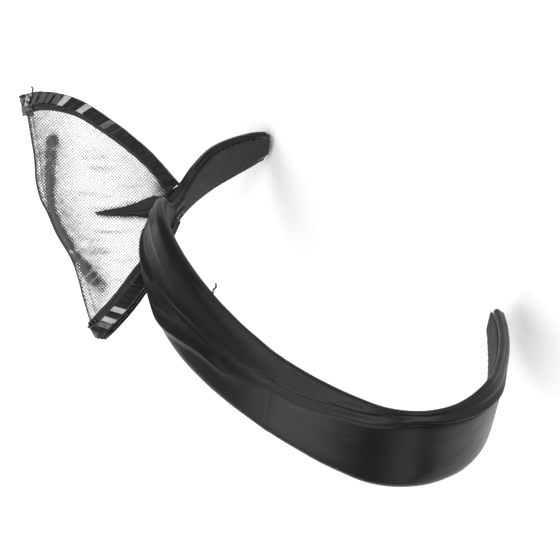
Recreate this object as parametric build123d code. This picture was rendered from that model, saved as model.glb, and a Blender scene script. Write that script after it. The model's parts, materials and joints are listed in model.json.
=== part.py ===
"""Animal ears headband: an open spring hoop wrapped in satin, with two sheer net ears at one gather.

Millimetres. The hoop stands in the XZ plane as it is worn, crown up (+Z), front towards -Y.
The origin is the middle of the crown's inner face, where the hoop rests on the head.
"""
from build123d import *
from math import cos, degrees, radians, sin
import os

# ---------------------------------------------------------------- driving dimensions
band_thickness = 5.0
band_half_width = 19.0
fabric_thickness = 0.7
lining_thickness = 0.6
core_thickness = 1.4
core_edge_margin = 2.4
layer_gap = 0.05
seam_gap = 1.0
crown_half_length = 14.0

# The outer face is a chain of tangent arcs on each side of the crown: (radius, angle in degrees).
right_arcs = [(123.0, 19.5), (37.0, 95.0), (110.0, 24.0)]
left_arcs = [(148.0, 26.0), (60.0, 66.0), (110.0, 16.0)]

# Band outline along the height: (z, front edge y, back edge y).
crown_level = 30.0
right_outline = [
    (crown_level, -19.0, 19.0), (-40.0, -19.0, 19.0), (-64.0, -15.0, 15.0),
    (-82.0, -9.5, 9.5), (-95.0, -5.0, 5.0),
]
left_outline = [
    (crown_level, -19.0, 19.0), (-14.0, -19.0, 19.0), (-28.0, -17.0, 13.0), (-41.0, -15.3, -1.3),
    (-51.0, -15.3, -1.3), (-68.0, -12.0, 9.0), (-88.0, -9.0, 8.0), (-108.0, -5.0, 5.0),
]

tip_cap_length = 9.0
tip_cap_wall = 0.9

# The gather where both ears are sewn on, as an angle round the left shoulder.
gather_angle = 71.0
gather_middle_y = -8.3
gather_width = 14.0
gather_wrap_length = 8.0
gather_wrap_thickness = 0.8
gather_clearance = 0.35
pad_size = (9.0, 12.0, 0.9)
knot_radius = 2.2
knot_length = 8.0
thread_radius = 0.25
thread_spacing = 1.6
thread_turn_count = 3

# Ears: direction they point, direction they face, and their outline in the ear's own plane.
ear_direction = Vector(-0.743, -0.138, 0.655)
ear_face = Vector(0.409, 0.682, 0.606)
ear_spread = 6.0
rear_ear_turn = 3.0
ear_loop_thickness = 3.6
net_start = 11.0
net_start_half_width = 1.6
trim_width = 7.5
trim_thickness = 4.4
wire_radius = 0.45
wire_channel_radius = 0.5
trim_gap = 0.3
top_edge = [(3.0, -22.0), (17.0, -33.5), (33.0, -42.0), (51.5, -43.0)]
fold_edge = [(43.0, 0.0)]
bottom_edge = [(24.5, 51.0), (14.0, 44.5), (6.5, 34.5), (2.5, 22.0)]
gather_stem_radius = 1.8
gather_stem_length = 6.2
sequin_radius = 3.1
sequin_thickness = 0.25
sequin_pitch = 3.6
sequin_level = 0.3

os.makedirs("parts", exist_ok=True)


# ---------------------------------------------------------------- the hoop's line
def arc_table(arcs):
    """Start angle, end angle, centre and radius of each arc, angles from the crown downwards."""
    rows = []
    start = 0.0
    centre = (0.0, band_thickness - arcs[0][0])
    for index, (radius, sweep) in enumerate(arcs):
        end = start + sweep
        rows.append((start, end, centre, radius))
        if index + 1 < len(arcs):
            step = radius - arcs[index + 1][0]
            centre = (centre[0] + step * sin(radians(end)), centre[1] + step * cos(radians(end)))
        start = end
    return rows


sides = {1: arc_table(right_arcs), -1: arc_table(left_arcs)}


def hoop_point(angle, depth):
    """Point (x, z) at a signed angle from the crown, at a depth under the outer face."""
    side = 1 if angle >= 0 else -1
    size = abs(angle)
    rows = sides[side]
    row = next((r for r in rows if size <= r[1] + 1e-9), rows[-1])
    centre, radius = row[2], row[3]
    x = centre[0] + (radius - depth) * sin(radians(size))
    z = centre[1] + (radius - depth) * cos(radians(size))
    return (side * x, z)


def arc_run(start, end, depth):
    """Tangent arcs at one depth between two signed angles."""
    corners = [-r[1] for r in sides[-1]] + [0.0] + [r[1] for r in sides[1]]
    low, high = min(start, end), max(start, end)
    stops = [low] + sorted(c for c in corners if low < c < high) + [high]
    edges = []
    for first, last in zip(stops, stops[1:]):
        middle = (first + last) / 2
        inset = (last - first) * 1e-7
        points = [hoop_point(a, depth) for a in (first + inset, middle, last - inset)]
        if first in corners and first != low:
            points[0] = edges[-1][2]
        edges.append(points)
    return [Plane.XZ.from_local_coords(ThreePointArc(*p)) for p in edges], edges


def layer_solid(start, end, outer_depth, inner_depth, half_width):
    """A curved strip between two depths, full width."""
    outer, outer_points = arc_run(start, end, outer_depth)
    inner, inner_points = arc_run(start, end, inner_depth)
    caps = []
    for a, b in ((outer_points[0][0], inner_points[0][0]), (outer_points[-1][2], inner_points[-1][2])):
        caps.append(Plane.XZ.from_local_coords(Line(a, b)))
    face = Face(Wire(outer + inner + caps))
    return extrude(face, amount=half_width, both=True)


def outline_prism(outline, inset):
    """The band's outline seen from the side, run through the whole width of the hoop."""
    front = [(z, low + inset) for z, low, _ in outline]
    back = [(z, high - inset) for z, _, high in outline]
    lowest = outline[-1][0] + inset
    front[-1] = (lowest, front[-1][1])
    back[-1] = (lowest, back[-1][1])
    points = [(y, z) for z, y in front] + [(y, z) for z, y in reversed(back)]
    face = make_face(Plane.YZ * Polyline(*points, close=True))
    return extrude(face, amount=160.0, both=True)


def only_solid(shape):
    """The largest solid of a result."""
    return max(shape.solids(), key=lambda s: s.volume)


def save(shape, node):
    solid = shape if isinstance(shape, Compound) else only_solid(shape)
    solid.label = node
    export_step(solid, f"parts/{node}.step")
    return solid


# ---------------------------------------------------------------- band sections
crown_right_angle = degrees(crown_half_length / right_arcs[0][0])
crown_left_angle = degrees(crown_half_length / left_arcs[0][0])
right_gap_angle = degrees(seam_gap / right_arcs[0][0])
left_gap_angle = degrees(seam_gap / left_arcs[0][0])
right_tip_angle = sides[1][-1][1]
left_tip_angle = sides[-1][-1][1]
sections = {
    "left": (-left_tip_angle, -crown_left_angle - left_gap_angle, left_outline),
    "crown": (-crown_left_angle, crown_right_angle, right_outline),
    "right": (crown_right_angle + right_gap_angle, right_tip_angle, right_outline),
}
core_outer_depth = band_thickness - lining_thickness - layer_gap - core_thickness
full = band_half_width + 5.0
overrun = 0.3


def trimmed_ends(name, start, end, length):
    """Section angles with the open tip pulled back by a length along the arm."""
    if name == "left":
        return start + degrees(length / left_arcs[-1][0]), end
    if name == "right":
        return start, end - degrees(length / right_arcs[-1][0])
    return start, end


for name, (start, end, outline) in sections.items():
    # The satin is a channel that is open towards the head and where it meets the next section.
    body = layer_solid(start, end, 0.0, band_thickness, full) & outline_prism(outline, 0.0)
    hollow_start, hollow_end = trimmed_ends(name, start, end, fabric_thickness)
    if name != "left":
        hollow_start -= overrun
    if name != "right":
        hollow_end += overrun
    hollow = layer_solid(hollow_start, hollow_end, fabric_thickness, band_thickness + 1.0, full)
    save(body - (hollow & outline_prism(outline, fabric_thickness)), f"{name}_satin_cover")

    # The lining ribbon closes the channel on the head side.
    edge = fabric_thickness + layer_gap
    inner_range = trimmed_ends(name, start, end, edge)
    lining = layer_solid(*inner_range, band_thickness - lining_thickness, band_thickness, full)
    save(lining & outline_prism(outline, edge), f"{name}_lining_ribbon")

    # The plastic spring strip, with a cap over its end in each arm.
    core_range = trimmed_ends(name, start, end, edge + 1.0)
    core = layer_solid(*core_range, core_outer_depth, core_outer_depth + core_thickness, full)
    core = only_solid(core & outline_prism(outline, core_edge_margin))
    save(core, f"{name}_spring_core")
    if name != "crown":
        cap_start, cap_end = trimmed_ends(name, start, end, tip_cap_length)
        cap_range = (core_range[0], cap_start) if name == "left" else (cap_end, core_range[1])
        cap = layer_solid(*cap_range, core_outer_depth - tip_cap_wall, core_outer_depth + core_thickness, full)
        cap = only_solid(cap & outline_prism(outline, edge + 0.5))
        save(cap - core, f"{name}_tip_cap")

    # Thin wadding between the strip and the satin.
    wadding_range = trimmed_ends(name, start, end, tip_cap_length + 1.0)
    wadding = layer_solid(*wadding_range, edge, core_outer_depth - layer_gap, full)
    save(wadding & outline_prism(outline, edge), f"{name}_wadding")

# ---------------------------------------------------------------- the gather
gather_x, gather_z = hoop_point(-gather_angle, 0.0)
outward = Vector(-sin(radians(gather_angle)), 0, cos(radians(gather_angle)))
gather_plane = Plane(origin=(gather_x, gather_middle_y, gather_z), x_dir=(0, 1, 0), z_dir=outward)
wrap_inner_width = gather_width + 2 * gather_clearance
wrap_inner_height = band_thickness + 2 * gather_clearance
wrap_outer = Box(
    wrap_inner_width + 2 * gather_wrap_thickness,
    gather_wrap_length,
    wrap_inner_height + 2 * gather_wrap_thickness,
)
wrap_inner = Box(wrap_inner_width, gather_wrap_length + 2, wrap_inner_height)
save(gather_plane * Location((0, 0, -band_thickness / 2)) * (wrap_outer - wrap_inner), "gather_wrap")

pad_base = gather_clearance + gather_wrap_thickness + layer_gap
pad = Box(*pad_size, align=(Align.CENTER, Align.CENTER, Align.MIN))
pad = fillet(pad.edges().filter_by(Axis.Z), 3.0)
save(gather_plane * Location((0, 0, pad_base)) * pad, "ear_base_pad")

# The knot lies across the band, bound by turns of thread.
knot_height = pad_base + pad_size[2] + knot_radius + 2 * thread_radius + 2 * layer_gap
knot_location = gather_plane * Location((0, 0, knot_height), (0, 90, 0))
knot = Cylinder(knot_radius, knot_length)
save(knot_location * fillet(knot.edges(), 1.0), "centre_knot")
turns = []
for index in range(thread_turn_count):
    along = (index - (thread_turn_count - 1) / 2) * thread_spacing
    ring = Torus(knot_radius + layer_gap + thread_radius, thread_radius)
    turns.append(knot_location * Location((0, 0, along)) * ring)
save(Compound(children=turns), "knot_thread_turns")
knot_centre = knot_location.position


# ---------------------------------------------------------------- ears
def ear_frame(offset, turn):
    """The ear's own plane: x points out along the ear, y down across it, z out of its face."""
    origin = knot_centre + ear_face.normalized() * offset
    direction = ear_direction.rotate(Axis((0, 0, 0), ear_face), turn)
    return Plane(origin=origin, x_dir=direction, z_dir=ear_face)


def shifted(points, amount):
    """The same edge moved towards the middle of the ear."""
    return [(x, y + amount) for x, y in points]


def edge_strip(points, amount, thickness):
    """A strip between an edge and its shifted copy, centred on the ear's plane."""
    inner_points = shifted(points, amount)
    outline = [
        Spline(*points).edge(),
        Spline(*inner_points).edge(),
        Line(points[0], inner_points[0]).edge(),
        Line(points[-1], inner_points[-1]).edge(),
    ]
    return extrude(Face(Wire(outline)), amount=thickness / 2, both=True)


def edge_wire(points, amount, radius):
    """A round wire along the middle of a strip."""
    path = Spline(*shifted(points, amount / 2))
    start = Plane(origin=path @ 0, z_dir=path % 0)
    return sweep(start * Circle(radius), path=path)


def sequin_row(points, amount, side):
    """Flat round sequins, each lapping the next, on one face of a strip."""
    path = Spline(*shifted(points, amount / 2))
    count = int((path.length - 2 * sequin_radius) / sequin_pitch) + 1
    sequins = []
    for index in range(count):
        middle = path @ ((sequin_radius + index * sequin_pitch) / path.length)
        height = trim_thickness / 2 + layer_gap + sequin_thickness / 2 + (index % 2) * sequin_level
        sequins.append(Location((middle.X, middle.Y, side * height)) * Cylinder(sequin_radius, sequin_thickness))
    return Compound(children=sequins)


for name, side, turn in (("front", 1, 0.0), ("rear", -1, rear_ear_turn)):
    frame = ear_frame(side * ear_spread / 2, turn)
    for place, edge, amount in (("top", top_edge, trim_width), ("bottom", bottom_edge, -trim_width)):
        trim = edge_strip(edge, amount, trim_thickness)
        save(frame * (trim - edge_wire(edge, amount, wire_channel_radius)), f"{name}_ear_{place}_trim")
        save(frame * edge_wire(edge, amount, wire_radius), f"{name}_ear_{place}_wire")
        save(frame * sequin_row(edge, amount, side), f"{name}_ear_{place}_sequins")
    inner_top = shifted(top_edge, trim_width + trim_gap)[1:]
    inner_bottom = shifted(bottom_edge, -trim_width - trim_gap)[:-1]
    start_low = (net_start, net_start_half_width)
    start_high = (net_start, -net_start_half_width)
    net_outline = [
        Spline(*inner_top).edge(),
        Spline(inner_top[-1], fold_edge[0], inner_bottom[0]).edge(),
        Spline(*inner_bottom).edge(),
        Line(inner_bottom[-1], start_low).edge(),
        Line(start_low, start_high).edge(),
        Line(start_high, inner_top[0]).edge(),
    ]
    net = extrude(Face(Wire(net_outline)), amount=ear_loop_thickness / 2, both=True)
    save(frame * net, f"{name}_ear_net")
    stem_middle = net_start - layer_gap - gather_stem_length / 2
    stem = Cylinder(gather_stem_radius, gather_stem_length, rotation=(0, 90, 0))
    save(frame * Location((stem_middle, 0, 0)) * stem, f"{name}_ear_gather_binding")
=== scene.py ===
import json
import math

import bmesh
import bpy
from mathutils import Matrix, Vector, noise


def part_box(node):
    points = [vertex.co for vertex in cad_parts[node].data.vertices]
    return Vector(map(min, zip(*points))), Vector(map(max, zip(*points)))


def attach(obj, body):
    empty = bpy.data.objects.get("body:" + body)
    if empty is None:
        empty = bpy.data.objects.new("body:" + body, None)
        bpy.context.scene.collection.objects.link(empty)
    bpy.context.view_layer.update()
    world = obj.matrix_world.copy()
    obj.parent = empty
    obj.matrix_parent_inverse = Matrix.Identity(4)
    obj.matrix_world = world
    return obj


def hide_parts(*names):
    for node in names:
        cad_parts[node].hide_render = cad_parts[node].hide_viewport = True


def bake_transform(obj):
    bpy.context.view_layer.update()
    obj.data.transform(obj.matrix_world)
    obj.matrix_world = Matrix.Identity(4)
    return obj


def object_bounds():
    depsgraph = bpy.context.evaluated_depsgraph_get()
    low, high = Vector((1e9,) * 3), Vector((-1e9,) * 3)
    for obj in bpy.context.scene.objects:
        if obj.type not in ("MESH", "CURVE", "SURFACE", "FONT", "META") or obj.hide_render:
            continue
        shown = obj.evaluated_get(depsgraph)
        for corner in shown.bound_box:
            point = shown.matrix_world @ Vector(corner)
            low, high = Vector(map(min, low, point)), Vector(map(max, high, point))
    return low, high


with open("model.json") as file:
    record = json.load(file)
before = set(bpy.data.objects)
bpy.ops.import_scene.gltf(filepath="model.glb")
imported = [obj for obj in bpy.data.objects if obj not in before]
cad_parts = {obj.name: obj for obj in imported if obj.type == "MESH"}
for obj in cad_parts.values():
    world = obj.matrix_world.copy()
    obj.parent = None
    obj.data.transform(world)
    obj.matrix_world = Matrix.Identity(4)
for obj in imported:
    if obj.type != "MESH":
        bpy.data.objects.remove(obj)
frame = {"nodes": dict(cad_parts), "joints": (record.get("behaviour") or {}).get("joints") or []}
cad_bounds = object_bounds()


# Satin cover of the headband: black bias-cut satin, 0.7 mm, pulled round the padded hoop and glued
# under the lining. It is cut in two lengths that meet in a lapped seam beside the crown's middle.
# The left length is gathered into pleats that run down the shoulder to the neck where the ears sit.

MM = 0.001
CROWN_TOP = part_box("crown_satin_cover")[1].z * 1000
ARCS = {
    1: ((123.0, 19.5), (37.0, 95.0), (110.0, 24.0)),
    -1: ((148.0, 26.0), (60.0, 66.0), (110.0, 16.0)),
}
RIGHT_TIP = sum(radius * math.radians(sweep) for radius, sweep in ARCS[1])
LEFT_TIP = -sum(radius * math.radians(sweep) for radius, sweep in ARCS[-1])


def hoop(s, depth=0.0):
    """The point s mm along the hoop's outer face and depth mm inside it, and the outward direction."""
    side = 1 if s >= 0 else -1
    rest = abs(s)
    turned = 0.0
    radius, sweep = ARCS[side][0]
    centre = Vector((0.0, 0.0, CROWN_TOP - radius))
    for following in ARCS[side][1:]:
        if rest <= radius * math.radians(sweep):
            break
        rest -= radius * math.radians(sweep)
        turned += math.radians(sweep)
        step = radius - following[0]
        centre += Vector((step * math.sin(turned), 0.0, step * math.cos(turned)))
        radius, sweep = following
    angle = turned + rest / radius
    outward = Vector((side * math.sin(angle), 0.0, math.cos(angle)))
    centre.x *= side
    return centre + outward * (radius - depth), outward


def smooth(rows, s, column=1):
    """A smooth curve through the rows' values in that column, against their first column."""
    if s <= rows[0][0]:
        return rows[0][column]
    if s >= rows[-1][0]:
        return rows[-1][column]
    i = max(k for k in range(len(rows) - 1) if rows[k][0] <= s)

    def slope(k):
        before, after = rows[max(k - 1, 0)], rows[min(k + 1, len(rows) - 1)]
        return (after[column] - before[column]) / (after[0] - before[0])

    gap = rows[i + 1][0] - rows[i][0]
    t = (s - rows[i][0]) / gap
    return (
        (2 * t**3 - 3 * t**2 + 1) * rows[i][column]
        + (t**3 - 2 * t**2 + t) * gap * slope(i)
        + (3 * t**2 - 2 * t**3) * rows[i + 1][column]
        + (t**3 - t**2) * gap * slope(i + 1)
    )


def ease(value, start, end):
    """0 at start, 1 at end, smooth between."""
    t = min(max((value - start) / (end - start), 0.0), 1.0)
    return t * t * (3 - 2 * t)


def hill(distance, width):
    """1 at no distance, falling away smoothly to nearly nothing at twice the width."""
    return math.exp(-((distance / width) ** 2))


EDGES = (
    (LEFT_TIP, -6.4, 6.4),
    (-158.0, -9.4, 8.6),
    (-140.0, -12.6, 9.6),
    (-130.0, -14.4, 5.2),
    (-121.0, -15.9, -0.4),
    (-111.0, -15.9, -0.6),
    (-104.0, -17.2, 5.4),
    (-96.0, -19.0, 13.2),
    (-88.0, -21.6, 17.4),
    (-76.0, -24.2, 19.5),
    (-53.0, -25.3, 19.8),
    (-32.0, -22.9, 19.7),
    (-14.0, -20.7, 19.3),
    (0.0, -19.4, 18.7),
    (18.0, -18.6, 18.8),
    (40.0, -19.1, 19.0),
    (60.0, -19.2, 18.9),
    (76.0, -19.2, 19.0),
    (94.0, -19.7, 20.0),
    (104.0, -18.2, 18.2),
    (117.0, -15.4, 15.4),
    (139.0, -10.2, 10.2),
    (RIGHT_TIP, -7.6, 7.6),
)
MAIN_CREASE = (
    (-8.4, 2.9), (3.6, 5.4), (15.0, 6.4), (25.0, 8.7), (35.0, 10.8), (45.0, 12.4),
    (55.0, 14.7), (61.0, 15.6), (73.0, 14.5), (85.0, 13.1), (97.0, 11.7), (120.0, 7.0),
)
BACK_CREASE = ((-6.0, 9.5), (0.5, 10.5), (18.0, 14.1), (35.0, 14.9), (49.0, 16.7), (56.0, 17.4))
UPPER_RIDGE = (
    (-111.0, -6.0), (-98.0, -6.5), (-78.0, -8.0), (-56.0, -0.7), (-38.0, 3.8), (-24.0, 4.6),
    (-11.0, 5.5), (4.0, 7.4),
)
LOWER_RIDGE = (
    (-111.0, -12.0), (-98.0, -16.0), (-78.0, -22.5), (-67.0, -21.6), (-47.0, -12.6), (-30.0, -5.7),
    (-17.0, -3.6), (-8.0, -2.0),
)


def folds(s, y, across):
    """Height in mm of the satin's folds over the padding; across runs from -1 to 1 over the band."""
    # the long crease along the crown and right shoulder, and a lesser one beside it
    lap = ease(s, -14.0, 2.0) * (1 - ease(s, 96.0, 118.0))
    d = y - smooth(MAIN_CREASE, s)
    height = lap * (1.45 * hill(d - 1.6, 1.25) - 1.0 * hill(d + 0.2, 0.65))
    height += lap * (0.5 * hill(d - 5.0, 1.3) - 0.3 * hill(d - 3.6, 0.7))
    d = y - smooth(BACK_CREASE, s)
    second = ease(s, -8.0, 4.0) * (1 - ease(s, 44.0, 58.0))
    height += second * (0.6 * hill(d - 1.4, 1.2) - 0.6 * hill(d, 0.7))
    # two ridges that run down the left shoulder, and the fine pleats they break into
    upper = (1 - ease(s, -14.0, 6.0)) * ease(s, -120.0, -100.0)
    d = y - smooth(UPPER_RIDGE, s)
    height += upper * (1.25 * hill(d, 1.9) - 0.55 * hill(d + 3.2, 1.4))
    lower = (1 - ease(s, -22.0, -6.0)) * ease(s, -120.0, -96.0)
    d = y - smooth(LOWER_RIDGE, s)
    height += lower * (1.2 * hill(d, 2.2) - 0.45 * hill(d - 3.4, 1.6))
    pleated = ease(-s, 50.0, 100.0) * (1 - ease(-s, 122.0, 150.0))
    wave = math.sin(across * 15.0 + 1.7 * noise.noise(Vector((s * 0.03, across * 1.3, 5.0))))
    height += pleated * (0.34 * wave + 0.12 * math.sin(across * 27.0 + 0.8))
    # the fullness above the neck, and the cloth's own unevenness at three sizes
    bulge = hill(s + 93.0, 17.0) * (1 - ease(y, -6.0, 13.0))
    height += 2.6 * bulge
    height += 0.28 * noise.noise(Vector((s * 0.035, y * 0.10, 1.3)))
    height += 0.07 * noise.noise(Vector((s * 0.09, y * 0.25, 7.1)))
    height += 0.02 * noise.noise(Vector((s * 0.35, y * 0.6, 4.4)))
    return height * (1 - abs(across) ** 10)


def sheet_mesh(name, columns, rows, place, closed=False):
    """A grid whose point (i, j) goes to place(i, j) = (point in mm, flat place in mm)."""
    bm = bmesh.new()
    bmesh.ops.create_grid(bm, x_segments=columns, y_segments=rows, size=1.0)
    flat = bm.loops.layers.uv.new("flat")
    where = {}
    for v in bm.verts:
        i = round((v.co.x + 1) / 2 * columns)
        j = round((v.co.y + 1) / 2 * rows)
        point, spot = place(i, j)
        where[v] = Vector(spot)
        v.co = point * MM
    for face in bm.faces:
        for loop in face.loops:
            loop[flat].uv = where[loop.vert]
    if closed:
        bmesh.ops.remove_doubles(bm, verts=bm.verts[:], dist=0.000002)
        holes = [e for e in bm.edges if e.is_boundary]
        if holes:
            bmesh.ops.holes_fill(bm, edges=holes, sides=0)
        bmesh.ops.recalc_face_normals(bm, faces=bm.faces[:])
    return piece(name, bm)


def piece(name, bm, smooth_faces=True):
    """The finished mesh as an object at the origin."""
    mesh = bpy.data.meshes.new(name)
    for face in bm.faces:
        face.smooth = smooth_faces
    bm.to_mesh(mesh)
    bm.free()
    made = bpy.data.objects.new(name, mesh)
    bpy.context.scene.collection.objects.link(made)
    return made


def paint(obj, material):
    """The piece in that material alone, under that slot."""
    obj.data.materials.clear()
    obj.data.materials.append(material)


INNER_DEPTH = 4.35
MIDDLE_DEPTH = 2.4
EDGE_CENTRE_DEPTH = 3.2
EDGE_RADIUS = 1.15
EDGE_REACH = 0.9
TURNINGS = (7.4, 5.6, 3.9, 2.4, 1.2)
TIP_ROUNDING = 3.0
TIP_NARROWING = 2.2
SEAM = 5.0
SEAM_WIDTH = 2.2


def satin_rows(front, back, count):
    """Places across the band, from the return under the lining round the outer face and back."""
    half = (back - front) / 2
    middle = (back + front) / 2
    rows = []
    for inset in TURNINGS:
        rows.append((-half + min(inset, half * 0.8), INNER_DEPTH, None))
    for k in range(1, 8):
        turn = math.pi * k / 8
        depth = EDGE_CENTRE_DEPTH + EDGE_RADIUS * math.cos(turn)
        rows.append((-half + EDGE_REACH - EDGE_REACH * math.sin(turn), depth, None))
    mirrored = [(-y, depth, None) for y, depth, _ in reversed(rows)]
    for k in range(count + 1):
        across = -1 + 2 * k / count
        y = across * (half - EDGE_REACH)
        rows.append((y, 2.15 * abs(across) ** 9 - 0.1, across))
    return [(middle + y, depth, across) for y, depth, across in rows + mirrored]


def satin_cover(name, start, end, columns, count, lap):
    """One length of the cover, from start to end in mm; lap lifts or sinks it at the seam."""
    length = end - start
    tip = start if abs(start) > abs(end) else end

    def column(i):
        s = start + length * i / columns
        closing = math.acos(min(1.0, abs(s - tip) / TIP_ROUNDING))
        front = smooth(EDGES, s, 1) + 0.25 * noise.noise(Vector((s * 0.09, 0.0, 2.0)))
        back = smooth(EDGES, s, 2) + 0.25 * noise.noise(Vector((s * 0.09, 9.0, 2.0)))
        shrink = TIP_NARROWING * (1 - math.cos(closing))
        rows = satin_rows(front + shrink, back - shrink, count)
        out = []
        flat = 0.0
        before = None
        for y, depth, across in rows:
            lift = lap * hill(s - SEAM, SEAM_WIDTH)
            if across is not None:
                lift += folds(s, y, across)
            deep = MIDDLE_DEPTH + (depth - lift - MIDDLE_DEPTH) * math.cos(closing) ** 0.7
            point, outward = hoop(s, deep)
            point.y = y
            if before is not None:
                flat += (point - before).length
            before = point
            out.append((point, (flat, s)))
        return out

    made = [column(i) for i in range(columns + 1)]
    return sheet_mesh(name, columns, len(made[0]) - 1, lambda i, j: made[i][j])


def node(tree, kind, values=None, **settings):
    """A shader node with its settings, and its sockets set or linked."""
    made = tree.nodes.new(kind)
    for key, value in settings.items():
        setattr(made, key, value)
    for key, value in (values or {}).items():
        if isinstance(value, bpy.types.NodeSocket):
            tree.links.new(value, made.inputs[key])
        else:
            made.inputs[key].default_value = value
    return made


def group(name, inputs, outputs):
    """An empty shader group with named float or vector inputs and float outputs."""
    made = bpy.data.node_groups.new(name, "ShaderNodeTree")
    for key, kind, value in inputs:
        socket = made.interface.new_socket(key, in_out="INPUT", socket_type=kind)
        if value is not None:
            socket.default_value = value
    for key in outputs:
        made.interface.new_socket(key, in_out="OUTPUT", socket_type="NodeSocketFloat")
    return made, made.nodes.new("NodeGroupInput").outputs, made.nodes.new("NodeGroupOutput").inputs


def weave_group():
    """Threads of a woven cloth: a height, from plain weave to twill, on coordinates in mm."""
    made, given, result = group(
        "weave",
        (
            ("Flat", "NodeSocketVector", None),
            ("Threads across", "NodeSocketFloat", 2.0),
            ("Threads along", "NodeSocketFloat", 2.0),
            ("Twill", "NodeSocketFloat", 0.0),
        ),
        ("Height",),
    )
    split = node(made, "ShaderNodeSeparateXYZ", {0: given["Flat"]})

    def work(operation, *values):
        return node(made, "ShaderNodeMath", dict(enumerate(values)), operation=operation).outputs[0]

    warp = work("MULTIPLY", work("MULTIPLY", split.outputs[0], given["Threads across"]), math.tau)
    weft = work("MULTIPLY", work("MULTIPLY", split.outputs[1], given["Threads along"]), math.tau)
    plain = work("MULTIPLY", work("SINE", warp), work("SINE", weft))
    twill = work("SINE", work("ADD", warp, weft))
    both = node(
        made,
        "ShaderNodeMix",
        {"Factor": given["Twill"], 2: plain, 3: twill},
        data_type="FLOAT",
    )
    made.links.new(both.outputs[0], result["Height"])
    return made


def patch_group():
    """Uneven handling of a surface: slow patches, and fine specks of lint."""
    made, given, result = group(
        "patches",
        (
            ("Place", "NodeSocketVector", None),
            ("Patch scale", "NodeSocketFloat", 60.0),
            ("Speck scale", "NodeSocketFloat", 900.0),
        ),
        ("Patch", "Speck"),
    )
    slow = node(
        made,
        "ShaderNodeTexNoise",
        {"Vector": given["Place"], "Scale": given["Patch scale"], "Detail": 3.0, "Roughness": 0.5},
    )
    fine = node(
        made,
        "ShaderNodeTexVoronoi",
        {"Vector": given["Place"], "Scale": given["Speck scale"], "Randomness": 1.0},
    )
    dots = node(
        made,
        "ShaderNodeMapRange",
        {"Value": fine.outputs["Distance"], "From Min": 0.02, "From Max": 0.07, "To Min": 1.0, "To Max": 0.0},
    )
    rare = node(
        made,
        "ShaderNodeTexNoise",
        {"Vector": given["Place"], "Scale": given["Speck scale"], "Detail": 0.0},
    )
    pick = node(
        made,
        "ShaderNodeMapRange",
        {"Value": rare.outputs["Fac"], "From Min": 0.66, "From Max": 0.70, "To Min": 0.0, "To Max": 1.0},
    )
    speck = node(
        made, "ShaderNodeMath", {0: dots.outputs[0], 1: pick.outputs[0]}, operation="MULTIPLY"
    )
    made.links.new(slow.outputs["Fac"], result["Patch"])
    made.links.new(speck.outputs[0], result["Speck"])
    return made


WEAVE = weave_group()
PATCHES = patch_group()


def cloth(name, dark, light, rough, threads, twill, relief, sheen=0.0, sheen_tint=(1, 1, 1, 1)):
    """A woven black cloth: two tones in slow patches, its threads as relief, and lint specks."""
    made = bpy.data.materials.new(name)
    made.use_nodes = True
    tree = made.node_tree
    shader = tree.nodes["Principled BSDF"]
    place = node(tree, "ShaderNodeTexCoord")
    flat = node(tree, "ShaderNodeUVMap", uv_map="flat")
    patches = node(tree, "ShaderNodeGroup", {}, node_tree=PATCHES)
    tree.links.new(place.outputs["Object"], patches.inputs["Place"])
    weave = node(tree, "ShaderNodeGroup", {}, node_tree=WEAVE)
    tree.links.new(flat.outputs[0], weave.inputs["Flat"])
    weave.inputs["Threads across"].default_value = threads[0]
    weave.inputs["Threads along"].default_value = threads[1]
    weave.inputs["Twill"].default_value = twill
    tone = node(
        tree,
        "ShaderNodeMix",
        {0: patches.outputs["Patch"], 6: (*dark, 1), 7: (*light, 1)},
        data_type="RGBA",
    )
    linted = node(
        tree,
        "ShaderNodeMix",
        {0: patches.outputs["Speck"], 6: tone.outputs[2], 7: (0.16, 0.16, 0.17, 1)},
        data_type="RGBA",
    )
    tree.links.new(linted.outputs[2], shader.inputs["Base Color"])
    roughness = node(
        tree,
        "ShaderNodeMapRange",
        {
            "Value": patches.outputs["Patch"],
            "From Min": 0.3,
            "From Max": 0.7,
            "To Min": rough[0],
            "To Max": rough[1],
        },
    )
    tree.links.new(roughness.outputs[0], shader.inputs["Roughness"])
    bump = node(
        tree,
        "ShaderNodeBump",
        {"Strength": relief, "Distance": 0.00008, "Height": weave.outputs["Height"]},
    )
    tree.links.new(bump.outputs[0], shader.inputs["Normal"])
    shader.inputs["Sheen Weight"].default_value = sheen
    shader.inputs["Sheen Roughness"].default_value = 0.35
    shader.inputs["Sheen Tint"].default_value = sheen_tint
    return made


SATIN = cloth(
    "black satin",
    (0.0024, 0.0029, 0.0033),
    (0.0050, 0.0057, 0.0064),
    (0.29, 0.35),
    (3.2, 1.6),
    1.0,
    0.12,
    sheen=0.02,
    sheen_tint=(0.85, 0.9, 1.0, 1),
)
SATIN.node_tree.nodes["Principled BSDF"].inputs["Specular IOR Level"].default_value = 0.20

left_satin = satin_cover("satin_cover_left", LEFT_TIP - 1.2, 6.2, 178, 96, 0.07)
paint(left_satin, SATIN)
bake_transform(left_satin)
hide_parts("left_satin_cover", "crown_satin_cover")

right_satin = satin_cover("satin_cover_right", 3.2, RIGHT_TIP + 1.2, 150, 96, -0.09)
paint(right_satin, SATIN)
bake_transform(right_satin)
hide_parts("right_satin_cover")


# Padding and spring strip inside the cover: white polyester wadding on a tempered spring-steel strip,
# with a moulded cap over each end of the strip. They are glued to each other and never seen from
# outside, and each keeps its own place.

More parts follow.
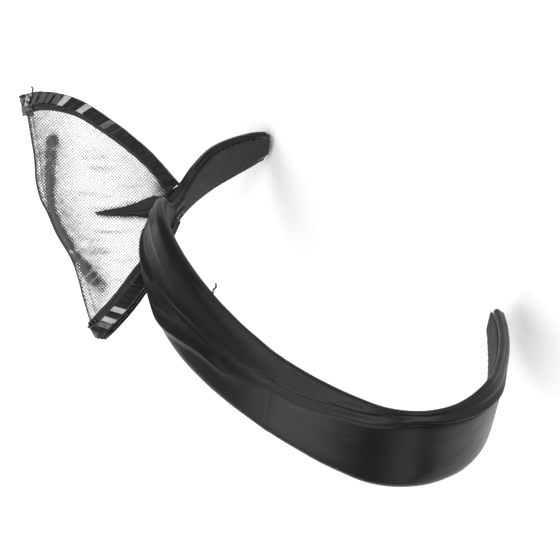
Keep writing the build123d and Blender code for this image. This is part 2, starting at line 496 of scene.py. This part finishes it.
def shop_material(name, low, high, rough, metal=0.0, scale=140.0, relief=0.2):
    """A plain stock surface with a slow change of tone and a fine grain."""
    made = bpy.data.materials.new(name)
    made.use_nodes = True
    tree = made.node_tree
    shader = tree.nodes["Principled BSDF"]
    place = node(tree, "ShaderNodeTexCoord")
    patches = node(tree, "ShaderNodeGroup", {}, node_tree=PATCHES)
    tree.links.new(place.outputs["Object"], patches.inputs["Place"])
    patches.inputs["Patch scale"].default_value = scale
    tone = node(
        tree,
        "ShaderNodeMix",
        {0: patches.outputs["Patch"], 6: (*low, 1), 7: (*high, 1)},
        data_type="RGBA",
    )
    tree.links.new(tone.outputs[2], shader.inputs["Base Color"])
    grain = node(
        tree,
        "ShaderNodeTexNoise",
        {"Vector": place.outputs["Object"], "Scale": scale * 14, "Detail": 4.0},
    )
    bump = node(
        tree, "ShaderNodeBump", {"Strength": relief, "Distance": 0.0002, "Height": grain.outputs["Fac"]}
    )
    tree.links.new(bump.outputs[0], shader.inputs["Normal"])
    shader.inputs["Roughness"].default_value = rough
    shader.inputs["Metallic"].default_value = metal
    return made


WADDING = shop_material(
    "polyester wadding", (0.70, 0.70, 0.68), (0.84, 0.84, 0.82), 0.95, scale=300, relief=0.9
)
SPRING = shop_material("spring strip", (0.35, 0.35, 0.37), (0.46, 0.46, 0.48), 0.34, metal=1.0, scale=220)
CAP = shop_material("cap plastic", (0.012, 0.012, 0.013), (0.02, 0.02, 0.022), 0.42, scale=400)


def ring(name, path, section, sides):
    """A closed skin of sections: path has (point, across, outward) in mm, section(t, turn) = (a, b)."""
    count = len(path) - 1

    def place(i, j):
        centre, across, outward = path[i]
        a, b = section(i / count, math.tau * (j % sides) / sides)
        return centre + across * a + outward * b, (j * 0.8, i * 0.8)

    return sheet_mesh(name, count, sides, place, closed=True)


PAD_STEPS = 60
PAD_DEPTH = 2.75
PAD_INSET = 2.0
PAD_HALF_THICKNESS = 1.35


def pad(name, start, end):
    """A length of wadding from start to end, a little lumpy, as wide as the band less its edges."""
    path = []
    halves = []
    for k in range(PAD_STEPS + 1):
        s = start + (end - start) * k / PAD_STEPS
        point, outward = hoop(s, PAD_DEPTH)
        front, back = smooth(EDGES, s, 1), smooth(EDGES, s, 2)
        point.y = (front + back) / 2
        path.append((point, Vector((0, 1, 0)), outward))
        halves.append((back - front) / 2 - PAD_INSET)

    def section(t, turn):
        half = halves[round(t * PAD_STEPS)]
        wide, high = math.cos(turn), math.sin(turn)
        lump = 0.12 * noise.noise(Vector((t * 20, turn * 3, 2.0)))
        return half * math.copysign(abs(wide) ** 0.6, wide), (PAD_HALF_THICKNESS + lump) * high

    made = ring(name, path, section, 36)
    paint(made, WADDING)
    return made


PAD_ENDS = {"left": (LEFT_TIP + 8, -15.0), "crown": (-14.0, 14.0), "right": (15.0, RIGHT_TIP - 8)}
for side, (start, end) in PAD_ENDS.items():
    made = pad("padding_" + side, start, end)
    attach(made, side if side == "crown" else side + "_arm")
    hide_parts(side + "_wadding")
    paint(frame["nodes"][side + "_spring_core"], SPRING)
for side in ("left", "right"):
    paint(frame["nodes"][side + "_tip_cap"], CAP)


# Lining: black grosgrain ribbon glued along the inner face over the satin's raw edges, in two lengths
# that meet on the crown like the cover. A row of slip stitches holds each long edge.

GROSGRAIN = cloth(
    "grosgrain ribbon", (0.010, 0.010, 0.011), (0.017, 0.017, 0.018), (0.62, 0.78), (1.1, 0.0), 1.0, 0.8
)


LINING_ROWS = 20
LINING_INSET = 2.4
LINING_DEPTH = 5.05


def lining(name, start, end, columns):
    """One length of the ribbon, from start to end in mm, its long edges pressed down to the satin."""
    def place(i, j):
        s = start + (end - start) * i / columns
        front = smooth(EDGES, s, 1) + LINING_INSET
        back = smooth(EDGES, s, 2) - LINING_INSET
        across = 1 - 2 * j / LINING_ROWS
        half = (back - front) / 2
        depth = LINING_DEPTH - 0.55 * abs(across) ** 12
        depth += 0.05 * noise.noise(Vector((s * 0.12, across * 2.0, 6.0)))
        point = hoop(s, depth)[0]
        point.y = (back + front) / 2 + across * half
        return point, (s, across * half)

    return sheet_mesh(name, columns, LINING_ROWS, place)


left_lining = lining("lining_left", LEFT_TIP + 0.3, 1.5, 150)
right_lining = lining("lining_right", 1.0, RIGHT_TIP - 0.3, 130)
for made, other, reach in ((left_lining, "left_arm", -1), (right_lining, "right_arm", 1)):
    paint(made, GROSGRAIN)
    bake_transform(made)
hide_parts("left_lining_ribbon", "crown_lining_ribbon")
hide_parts("right_lining_ribbon")

THREAD = shop_material(
    "black thread", (0.010, 0.010, 0.011), (0.022, 0.022, 0.024), 0.55, scale=900, relief=0.8
)

STITCH_PITCH = 2.6
STITCH_LENGTH = 1.7
STITCH_WIDTH = 0.32
STITCH_INSET = 2.3
STITCH_DEPTH = 4.72


def stitches(name, places, body):
    """Short slanted stitches, each a rounded bar at (point, along, outward), in mm."""
    bm = bmesh.new()
    for point, along, outward in places:
        aside = outward.cross(along).normalized()
        turn = Matrix((aside, outward, along)).transposed().to_4x4()
        bar = bmesh.ops.create_cone(
            bm,
            segments=6,
            radius1=STITCH_WIDTH / 2,
            radius2=STITCH_WIDTH / 2,
            depth=STITCH_LENGTH,
            cap_ends=True,
            cap_tris=False,
        )["verts"]
        bmesh.ops.transform(bm, matrix=turn, verts=bar)
        bmesh.ops.translate(bm, vec=point, verts=bar)
    bmesh.ops.scale(bm, vec=(MM, MM, MM), verts=bm.verts[:])
    made = piece(name, bm)
    paint(made, THREAD)
    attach(made, body)


def hem_places(start, end):
    """Where the stitches lie along both edges of the ribbon, from start to end in mm."""
    places = []
    s = start
    while s < end:
        for column, sign in ((1, 1), (2, -1)):
            y = smooth(EDGES, s, column) + sign * STITCH_INSET
            point, outward = hoop(s, STITCH_DEPTH)
            point.y = y
            along = Vector((outward.z, 0.35 * sign, -outward.x)).normalized()
            places.append((point, along, -outward))
        s += STITCH_PITCH
    return places


stitches("hem_stitches_left", hem_places(LEFT_TIP + 5, -17), "left_arm")
stitches("hem_stitches_crown", hem_places(-12, 12), "crown")
stitches("hem_stitches_right", hem_places(17, RIGHT_TIP - 4), "right_arm")


# Neck of the headband under the ears: the satin is drawn together and bound with a pleated wrap of the
# same cloth. A felt pad glued on its outer side spreads the knot's pull.

NECK_START = -121.4
NECK_LENGTH = 10.6
NECK_DEPTH = 2.4
NECK_MIDDLE = -8.3


def neck_section(t, turn):
    """Half-breadths of the wrap's pleated outline, thinner at its two ends."""
    pleat = 0.35 * math.sin(turn * 11 + 2.2 * t) + 0.2 * math.sin(turn * 23 + 1.0)
    ends = 1 - abs(2 * t - 1) ** 6 * 0.35
    a = (8.2 + pleat * 0.6) * math.cos(turn)
    b = (3.3 * ends + pleat) * math.sin(turn)
    return a, b


neck = []
for k in range(25):
    s = NECK_START + NECK_LENGTH * k / 24
    point, outward = hoop(s, NECK_DEPTH)
    point.y = NECK_MIDDLE
    neck.append((point, Vector((0, 1, 0)), outward))
wrap = ring("pleated_wrap", neck, neck_section, 132)
paint(wrap, SATIN)
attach(wrap, "left_arm")
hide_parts("gather_wrap")

FELT = shop_material("wool felt", (0.012, 0.012, 0.013), (0.026, 0.026, 0.028), 0.97, scale=500, relief=1.0)
paint(frame["nodes"]["ear_base_pad"], FELT)


# Knot over the neck: a tight ball of the gathered cloth that both ears spring from, bound with three
# turns of thread.

ears = {j["name"]: j for j in frame["joints"] if j["name"].endswith("ear_bend")}
KNOT = Vector(ears["front_ear_bend"]["pos_m"]) * 1000
FACING = Vector((0.40907, 0.68212, 0.60611)).normalized()

knot_low, knot_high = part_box("centre_knot")
knot_middle = (knot_low + knot_high) * 500
size = (knot_high - knot_low) * 500
bm = bmesh.new()
bmesh.ops.create_uvsphere(bm, u_segments=64, v_segments=40, radius=1.0)
for v in bm.verts:
    place = v.co.copy()
    turn = math.atan2(place.y, place.x)
    fold = 0.10 * math.sin(turn * 7 + place.z * 3.0) + 0.07 * noise.noise(place * 3.0)
    v.co = Vector((place.x * size.x, place.y * size.y, place.z * size.z)) * (0.97 + fold * (1 - place.z**2))
    v.co += knot_middle
    v.co *= MM
knot = piece("tied_knot", bm)
KNOT_CLOTH = cloth(
    "knotted cloth",
    (0.003, 0.003, 0.004),
    (0.008, 0.008, 0.009),
    (0.45, 0.6),
    (1.5, 1.5),
    0.0,
    0.3,
    sheen=0.02,
)
KNOT_CLOTH.node_tree.nodes["Principled BSDF"].inputs["Specular IOR Level"].default_value = 0.3
knot.data.uv_layers.new(name="flat")
paint(knot, KNOT_CLOTH)
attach(knot, "left_arm")
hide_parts("centre_knot")
paint(frame["nodes"]["knot_thread_turns"], THREAD)


# The two ears: each a fan of nylon net, folded double over its outer edge and gathered at the knot into
# a dark pleat. They lie 6 mm apart at the knot, the front one uppermost.

TOP_LINE = (
    (-7.0, -6.0), (2.3, -16.7), (11.6, -24.9), (19.0, -30.4), (28.3, -36.4), (35.9, -39.1),
    (44.0, -40.0), (50.3, -38.6),
)
BOTTOM_LINE = (
    (-4.5, 4.5), (0.3, 14.8), (2.7, 22.3), (7.0, 28.1), (11.3, 34.0), (15.9, 39.5),
    (21.5, 45.3), (24.0, 47.6),
)
OUTER_LINE = (
    (50.3, -38.6), (49.1, -34.4), (48.0, -27.7), (46.4, -17.7), (45.7, -8.5), (43.8, -1.2), (41.5, 3.0),
    (37.6, 11.8), (32.3, 20.7), (29.6, 27.9), (27.7, 35.2), (26.0, 41.0), (24.0, 47.6),
)
NECK_LINE = ((-7.0, -6.0), (-8.4, -1.0), (-7.0, 2.5), (-4.5, 4.5))
ROLL_LINE = (
    (38.8, -24.3), (39.6, -18.5), (39.9, -10.4), (39.9, -5.1), (39.2, 1.5), (36.9, 8.4), (33.8, 14.5),
    (30.3, 19.9), (25.7, 25.5), (20.8, 31.6),
)


def line(points):
    """A smooth line through the points, as a function of the share of its length."""
    rows = [(0.0, *points[0])]
    for before, after in zip(points, points[1:]):
        rows.append((rows[-1][0] + math.dist(before, after), *after))
    total = rows[-1][0]
    return lambda t: Vector((smooth(rows, t * total, 1), smooth(rows, t * total, 2)))


top_line, bottom_line, outer_line, neck_line = (
    line(TOP_LINE), line(BOTTOM_LINE), line(OUTER_LINE), line(NECK_LINE)
)
roll_points = [line(ROLL_LINE)(k / 40) for k in range(41)]
SPREAD = 3.4
HALF_GAP = 3.0
REAR_TILT = 0.35


def fan(t, b):
    """Place in the ear's plane: t from the knot to the outer edge, b from the top to the bottom edge."""
    corners = (
        (1 - t) * (1 - b) * neck_line(0) + (1 - t) * b * neck_line(1)
        + t * (1 - b) * outer_line(0) + t * b * outer_line(1)
    )
    return (
        (1 - b) * top_line(t) + b * bottom_line(t) + (1 - t) * neck_line(b) + t * outer_line(b) - corners
    )


def belly(t):
    """Half the gap between the two layers."""
    return SPREAD * max(t, 0.0) ** 0.9 * math.sqrt(max(1 - t**4, 0.0)) + 0.25


def ear_frame(which):
    """Where an ear's plane lies: its origin on the knot, and its two directions."""
    front_axis = -Vector(ears["front_ear_bend"]["axis"])
    rear_axis = Vector(ears["rear_ear_bend"]["axis"])
    down = front_axis.lerp(rear_axis, 0.0 if which == "front" else REAR_TILT).normalized()
    outwards = down.cross(FACING).normalized()
    origin = KNOT + FACING * (HALF_GAP if which == "front" else -HALF_GAP)
    return origin, outwards, down


def ear_place(which, x, y, z):
    """The point x out from the knot, y down and z above the ear's plane, all in mm."""
    origin, outwards, down = ear_frame(which)
    return origin + outwards * x + down * y + FACING * z


def crowding(which, p, t, layer):
    """How tightly the net's threads crowd: at the knot, and in the roll inside the outer edge."""
    near, along = min(((p - q).length, k / 40) for k, q in enumerate(roll_points))
    ends = abs(2 * along - 0.9) ** 1.5
    lumps = noise.noise(Vector((along * 24.0, near * 0.35, 3.0 * layer)))
    solid = min(max(0.80 + (0.35 + 2.6 * ends) * lumps - 0.25 * ends, 0.0), 1.0)
    rolled = ease(near, 1.9 + 1.2 * ends, 0.9 + 0.5 * ends) * solid
    rolled *= (1.0 if layer > 0 else 0.25) * (1.0 if which == "front" else 0.12)
    outer = 0.07 * ease(t, 0.72, 0.95) + 0.05 * hill(near, 4.0)
    outer += 0.10 * ease(t, 0.90, 0.97) * (1.0 if which == "front" else 0.0)
    outer *= 0.7 + 1.1 * noise.noise(Vector((p.x * 0.35, p.y * 0.8, 8.0)))
    outer += 0.12 if which == "front" and layer > 0 else 0.0
    pulled = 0.6 * hill(t, 0.11) + 0.06 * hill(t, 0.3)
    pleat = hill(p.y - 2.0 - 0.08 * p.x, 0.9 + 0.07 * max(24 - p.x, 0)) * (1 - ease(p.x, 8.0, 26.0))
    wisps = max(noise.noise(Vector((p.x * 0.07, p.y * 0.8, 5.0 * layer))) - 0.25, 0.0) * hill(p.x - 20.0, 12.0)
    hem = (0.85 if which == "front" else 0.15) * hill(1 - t, 0.010)
    return min(rolled + outer + pulled + 0.6 * pleat + 0.5 * wisps + hem, 1.0)


NET_COLUMNS = 120
NET_ROWS = 84


def ear_net(which):
    """The net of one ear, its two layers one sheet that turns over the outer edge."""
    values = {}

    def place(i, j):
        u = 2.0 * i / NET_COLUMNS
        layer = 1 if u <= 1 else -1
        t = u if u <= 1 else 2 - u
        b = j / NET_ROWS
        p = fan(t, b)
        if which == "rear":
            p.x -= 1.6 * ease(t, 0.5, 1.0)
        z = layer * belly(t)
        gather = 0.55 * (1 - t) ** 1.6 * math.sin(b * 46 + 2.0 * layer)
        near = min((p - q).length for q in roll_points)
        z += layer * 1.3 * hill(near, 1.8) + gather
        z += 0.5 * t * noise.noise(Vector((p.x * 0.06, p.y * 0.06, 2.0 * layer)))
        values[(i, j)] = crowding(which, p, t, layer)
        turn = math.radians(4 if layer > 0 else -5)
        flat = (
            p.x * math.cos(turn) - p.y * math.sin(turn),
            p.x * math.sin(turn) + p.y * math.cos(turn),
        )
        return ear_place(which, p.x, p.y, z), flat

    made = sheet_mesh(which + "_ear_folded_net", NET_COLUMNS, NET_ROWS, place)
    crowd = made.data.attributes.new("crowding", "FLOAT", "POINT")
    count = NET_COLUMNS + 1
    for index in range(len(made.data.vertices)):
        crowd.data[index].value = values[(index % count, index // count)]
    return made


def net_material():
    """Diamond net of fine nylon: threads where a cell's edge is near, open holes between."""
    made = bpy.data.materials.new("nylon net")
    made.use_nodes = True
    tree = made.node_tree
    shader = tree.nodes["Principled BSDF"]
    output = tree.nodes["Material Output"]
    flat = node(tree, "ShaderNodeUVMap", uv_map="flat")
    turned = node(
        tree, "ShaderNodeMapping", {"Vector": flat.outputs[0], "Rotation": (0, 0, math.radians(45))}
    )
    cells = node(
        tree,
        "ShaderNodeTexVoronoi",
        {"Vector": turned.outputs[0], "Scale": 1.12, "Randomness": 0.2},
        voronoi_dimensions="2D",
        feature="DISTANCE_TO_EDGE",
    )
    crowd = node(tree, "ShaderNodeAttribute", attribute_name="crowding")
    width = node(
        tree,
        "ShaderNodeMapRange",
        {"Value": crowd.outputs["Fac"], "From Min": 0.0, "From Max": 1.0, "To Min": 0.010, "To Max": 0.46},
    )
    covered = node(
        tree, "ShaderNodeMath", {0: cells.outputs["Distance"], 1: width.outputs[0]}, operation="LESS_THAN"
    )
    grain = node(tree, "ShaderNodeTexNoise", {"Vector": turned.outputs[0], "Scale": 3.0, "Detail": 2.0})
    tone = node(
        tree,
        "ShaderNodeMix",
        {0: grain.outputs["Fac"], 6: (0.012, 0.012, 0.014, 1), 7: (0.035, 0.035, 0.038, 1)},
        data_type="RGBA",
    )
    tree.links.new(tone.outputs[2], shader.inputs["Base Color"])
    shader.inputs["Roughness"].default_value = 0.5
    clear = node(tree, "ShaderNodeBsdfTransparent")
    both = node(
        tree, "ShaderNodeMixShader", {0: covered.outputs[0], 1: clear.outputs[0], 2: shader.outputs[0]}
    )
    tree.links.new(both.outputs[0], output.inputs["Surface"])
    return made


NET = net_material()
for which in ("front", "rear"):
    made = ear_net(which)
    paint(made, NET)
    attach(made, which + "_ear")
    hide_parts(which + "_ear_net")


# The pleat at each ear's root: the net's gathered end, twisted into a ridged bundle 30 mm long that
# starts at the knot and narrows to a point on the net.

PLEAT_START = -8.0
PLEAT_LENGTH = 30.5
PLEAT = (
    (0.0, 2.0, 0.4), (0.12, 2.9, 0.6), (0.33, 3.3, 1.4), (0.48, 2.2, 2.2), (0.65, 1.4, 2.9),
    (0.85, 0.8, 3.4), (1.0, 0.2, 3.5),
)
for which in ("front", "rear"):
    path = []
    for k in range(41):
        t = k / 40
        x = PLEAT_START + PLEAT_LENGTH * t
        y = smooth(PLEAT, t, 2)
        z = 2.6 * (1 - t) + 2.2 * t
        point = ear_place(which, x, y, z)
        down = ear_frame(which)[2]
        path.append((point, down, FACING))

    def bundle(t, turn):
        size = smooth(PLEAT, t, 1)
        ridge = 1 + 0.16 * math.sin(turn * 9 + 3.0 * t) + 0.08 * math.sin(turn * 17)
        return size * ridge * math.cos(turn), (0.45 * size + 0.1) * ridge * math.sin(turn)

    made = ring(which + "_ear_pleat", path, bundle, 54)
    paint(made, KNOT_CLOTH)
    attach(made, which + "_ear")
    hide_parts(which + "_ear_gather_binding")


# Trim of each ear's edges: a satin tape, 5.6 mm wide along the top and 8.2 mm along the bottom, sewn
# to the net out over one layer, round the outer corner and back under the other. A thin steel wire is
# cased in it.

def edge_place(which, edge, u, side, lift):
    """On an ear's edge: u from 0 to 2 out and back, side in mm from its middle line, lift in mm."""
    run = top_line if edge == "top" else bottom_line
    layer = 1 if u <= 1 else -1
    t = min(max(u if u <= 1 else 2 - u, 0.0), 1.0)
    here = run(t)
    ahead = run(min(t + 0.01, 1.0)) - run(max(t - 0.01, 0.0))
    ahead.normalize()
    away = Vector((ahead.y, -ahead.x)) if edge == "top" else Vector((-ahead.y, ahead.x))
    p = here + away * side
    bend = 1 - hill(1 - t, 0.02)
    z = layer * (belly(t) + lift) * bend
    return ear_place(which, p.x, p.y, z), ahead, away


TAPE = cloth("trim tape", (0.004, 0.004, 0.005), (0.008, 0.008, 0.009), (0.4, 0.5), (1.8, 0.6), 0.3, 0.4)
TAPE.node_tree.nodes["Principled BSDF"].inputs["Specular IOR Level"].default_value = 0.3
WIRE = shop_material("millinery wire", (0.02, 0.02, 0.022), (0.05, 0.05, 0.052), 0.38, metal=0.6, scale=500)

TAPE_COLUMNS = 160
TAPE_ROWS = 20
TAPE_WIDTH = {"top": 5.6, "bottom": 8.2}
TAPE_INSIDE = -2.3
WIRE_RADIUS = 0.45
WIRE_STEPS = 60


def round_section(radius):
    """The outline of a round wire or thread."""
    return lambda t, turn: (radius * math.cos(turn), radius * math.sin(turn))


for which in ("front", "rear"):
    for edge in ("top", "bottom"):
        def strip(i, j):
            u = 2.0 * i / TAPE_COLUMNS
            share = 1 - j / TAPE_ROWS if edge == "top" else j / TAPE_ROWS
            side = TAPE_INSIDE + TAPE_WIDTH[edge] * share
            lift = 0.35 - 0.25 * abs(2 * share - 1) ** 6 + 0.3 * hill(side + 1.5, 0.4)
            lift += 0.22 * noise.noise(Vector((u * 26.0, side * 0.3, 1.0)))
            return edge_place(which, edge, u, side, lift)[0], (side, u * 75.0)

        tape = sheet_mesh(which + "_ear_" + edge + "_tape", TAPE_COLUMNS, TAPE_ROWS, strip)
        paint(tape, TAPE)
        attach(tape, which + "_ear")
        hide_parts(which + "_ear_" + edge + "_trim")

        path = []
        for k in range(WIRE_STEPS + 1):
            u = 0.10 + 0.86 * k / WIRE_STEPS
            point, _, away = edge_place(which, edge, u, 2.6, -0.1)
            _, outwards, down = ear_frame(which)
            path.append((point, outwards * away.x + down * away.y, FACING))
        wire = ring(which + "_ear_" + edge + "_cased_wire", path, round_section(WIRE_RADIUS), 10)
        paint(wire, WIRE)
        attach(wire, which + "_ear")
        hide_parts(which + "_ear_" + edge + "_wire")


# Sequins on the trim: glossy black plastic plates, 3.4 by 4.9 mm, cut on the slant and sewn down about
# 2.6 mm apart so that each laps the next, no two at quite the same tilt, on both faces of each ear.

PLATE = (3.4, 4.9, 0.5)
PLATE_ROUNDING = 0.24
CORNER_PLATES = 8


def sequin_material():
    """Glossy plastic, each plate lighter or darker by its own tone."""
    made = bpy.data.materials.new("sequin plastic")
    made.use_nodes = True
    tree = made.node_tree
    shader = tree.nodes["Principled BSDF"]
    tone = node(tree, "ShaderNodeAttribute", attribute_name="tone")
    place = node(tree, "ShaderNodeTexCoord")
    patches = node(tree, "ShaderNodeGroup", {}, node_tree=PATCHES)
    tree.links.new(place.outputs["Object"], patches.inputs["Place"])
    patches.inputs["Patch scale"].default_value = 700.0
    colour = node(
        tree,
        "ShaderNodeMix",
        {0: tone.outputs["Fac"], 6: (0.004, 0.004, 0.005, 1), 7: (0.022, 0.023, 0.026, 1)},
        data_type="RGBA",
    )
    tree.links.new(colour.outputs[2], shader.inputs["Base Color"])
    rough = node(
        tree,
        "ShaderNodeMapRange",
        {"Value": patches.outputs["Patch"], "From Min": 0.3, "From Max": 0.7, "To Min": 0.08, "To Max": 0.20},
    )
    tree.links.new(rough.outputs[0], shader.inputs["Roughness"])
    shader.inputs["Specular IOR Level"].default_value = 0.7
    return made


SEQUIN = sequin_material()


def lay_plate(bm, tones, turn, point, slant, tone):
    """One plate with rounded rims, turned and put at point in mm."""
    disc = bmesh.ops.create_cube(bm, size=1.0)["verts"]
    bmesh.ops.scale(bm, vec=PLATE, verts=disc)
    rims = list({e for v in disc for e in v.link_edges})
    rounded = bmesh.ops.bevel(
        bm, geom=rims, offset=PLATE_ROUNDING, segments=2, profile=0.5, affect="EDGES", material=-1
    )
    disc = list({v for face in rounded["faces"] for v in face.verts})
    for v in disc:
        v[tones] = tone
    turn = turn @ Matrix(((1, slant, 0), (0, 1, 0), (0, 0, 1)))
    bmesh.ops.transform(bm, matrix=turn.to_4x4(), verts=disc)
    bmesh.ops.translate(bm, vec=point, verts=disc)


def sequins(which, edge):
    """The plates of one edge: a row out over one face and back over the other, and a corner cluster."""
    bm = bmesh.new()
    tones = bm.verts.layers.float.new("tone")
    _, outwards, down = ear_frame(which)
    count = 25 if edge == "top" else 20
    middle = 0.85 if edge == "top" else 3.0
    number = 0
    for layer in (1, -1):
        for k in range(count):
            t = 0.03 + 0.93 * k / (count - 1)
            number += 1
            chance = noise.noise(Vector((number * 0.73, 1.7, 0.4)))
            other = noise.noise(Vector((number * 0.91, 5.2, 3.4)))
            u = t if layer > 0 else 2 - t
            point, ahead, _ = edge_place(which, edge, u, middle + 0.15 * chance, 0.95)
            forward = (outwards * ahead.x + down * ahead.y).normalized()
            up = FACING * layer
            turn = Matrix((forward, up.cross(forward).normalized(), up)).transposed()
            turn = turn @ Matrix.Rotation(math.radians(-20 - (9 + 20 * t) * chance), 3, "Y")
            turn = turn @ Matrix.Rotation(math.radians((12 + 22 * t) * other), 3, "X")
            slant = (0.5 if edge == "top" else -0.5) * layer
            lay_plate(bm, tones, turn, point, slant, 0.5 + 0.5 * chance)
    for k in range(CORNER_PLATES):
        chance = noise.noise(Vector((k * 0.83, 2.7, 6.4)))
        other = noise.noise(Vector((k * 0.57, 8.1, 1.4)))
        side = middle - 2.6 + 0.45 * k
        point, ahead, _ = edge_place(which, edge, 0.975 + 0.02 * (k % 2), side, 0.6)
        forward = (outwards * ahead.x + down * ahead.y).normalized()
        turn = Matrix((forward, FACING.cross(forward).normalized(), FACING)).transposed()
        turn = turn @ Matrix.Rotation(math.radians(30 + 70 * chance), 3, "Y")
        turn = turn @ Matrix.Rotation(math.radians(80 * other), 3, "X")
        lay_plate(bm, tones, turn, point, 0.3, 0.5 + chance)
    bmesh.ops.scale(bm, vec=(MM, MM, MM), verts=bm.verts[:])
    return piece(which + "_ear_" + edge + "_sequin_row", bm, smooth_faces=False)


for which in ("front", "rear"):
    for edge in ("top", "bottom"):
        made = sequins(which, edge)
        paint(made, SEQUIN)
        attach(made, which + "_ear")
        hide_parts(which + "_ear_" + edge + "_sequins")


# Thread ends left by the sewing: one at the top outer corner of the front ear, one on the headband's
# back edge. Each is a 5 to 6 mm tail of black thread, too short to hang.

TAIL_RADIUS = 0.34
TAIL_STEPS = 6


def thread_tail(name, points, body):
    """A thread through the points, each stretch in a few short steps."""
    path = []
    for before, after in zip(points, points[1:] + points[-1:]):
        for k in range(TAIL_STEPS):
            path.append(before.lerp(after, k / TAIL_STEPS))
    frames = []
    for k, point in enumerate(path[:-TAIL_STEPS]):
        along = (path[k + 1] - point).normalized()
        aside = along.cross(Vector((0.3, 0.2, 0.9))).normalized()
        frames.append((point, aside, along.cross(aside)))
    made = ring(name, frames, round_section(TAIL_RADIUS), 8)
    paint(made, THREAD)
    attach(made, body)


EAR_TAIL = ((46.2, -41.0, 2.0), (46.6, -43.0, 3.0), (46.2, -44.4, 3.4), (47.1, -45.2, 3.2))
thread_tail("thread_tail_ear", [ear_place("front", *place) for place in EAR_TAIL], "front_ear")
tail = []
for s, y, depth in ((-33.0, 18.4, 4.2), (-33.2, 20.6, 4.6), (-32.4, 22.0, 5.0), (-33.8, 23.0, 5.6)):
    point, outward = hoop(s, depth)
    point.y = y
    tail.append(point)
thread_tail("thread_tail_band", tail, "left_arm")


# Floor, light and camera: a plain pale table, soft light from above and from both sides, and a camera
# looking down on the band from behind and above.

FLOOR_GAP = 0.0005
bm = bmesh.new()
bmesh.ops.create_grid(bm, x_segments=1, y_segments=1, size=6.0)
bmesh.ops.translate(bm, vec=(0, 0, cad_bounds[0].z - FLOOR_GAP), verts=bm.verts[:])
floor = piece("floor", bm)
paper = bpy.data.materials.new("pale table")
paper.use_nodes = True
paper_shader = paper.node_tree.nodes["Principled BSDF"]
paper_shader.inputs["Base Color"].default_value = (0.96, 0.96, 0.96, 1)
paper_shader.inputs["Roughness"].default_value = 0.9
paper_shader.inputs["Specular IOR Level"].default_value = 0.1
floor.data.materials.append(paper)

eye = Vector((0.32439, 0.54560, 0.41972))
aim = Vector((-0.034, -0.001, -0.043))
backward = (eye - aim).normalized()
upward = Vector((-0.530, 0.718, -0.4505))
upward = (upward - backward * upward.dot(backward)).normalized()
sideways = upward.cross(backward).normalized()
camera = bpy.data.objects.new("camera", bpy.data.cameras.new("camera"))
camera.data.lens = 138.86
camera.data.sensor_width = 36.0
camera.data.clip_start = 0.01
camera.data.clip_end = 50.0
turned = Matrix((sideways, upward, backward)).transposed().to_4x4()
camera.matrix_world = Matrix.Translation(eye) @ turned
bpy.context.scene.collection.objects.link(camera)
bpy.context.scene.camera = camera


def softbox(name, place, aim_at, size, power):
    """A large square soft light at place, turned to aim_at."""
    made = bpy.data.objects.new(name, bpy.data.lights.new(name, "AREA"))
    made.data.shape = "SQUARE"
    made.data.size = size
    made.data.energy = power
    made.location = place
    made.rotation_euler = (Vector(aim_at) - Vector(place)).to_track_quat("-Z", "Y").to_euler()
    bpy.context.scene.collection.objects.link(made)


softbox("overhead light", (-0.1, 0.2, 1.4), (0, 0, 0), 1.8, 26.0)
softbox("front light", (-0.22, -0.75, 0.78), (-0.02, 0, -0.02), 0.45, 2.2)
softbox("right light", (0.75, -0.78, 0.42), (0.02, 0, -0.03), 0.45, 1.2)
softbox("near light", (0.10, 1.05, 0.85), (-0.12, 0, -0.03), 0.30, 3.5)
softbox("side light", (0.62, 0.78, 0.24), (-0.12, 0, -0.03), 0.35, 3.5)
softbox("back light", (-0.9, 1.1, 0.9), (-0.09, 0, -0.05), 0.6, 8.0)

world = bpy.data.worlds.new("room")
world.use_nodes = True
world.node_tree.nodes["Background"].inputs["Color"].default_value = (1, 1, 1, 1)
world.node_tree.nodes["Background"].inputs["Strength"].default_value = 0.22
bpy.context.scene.world = world
bpy.context.scene.view_settings.view_transform = "Standard"
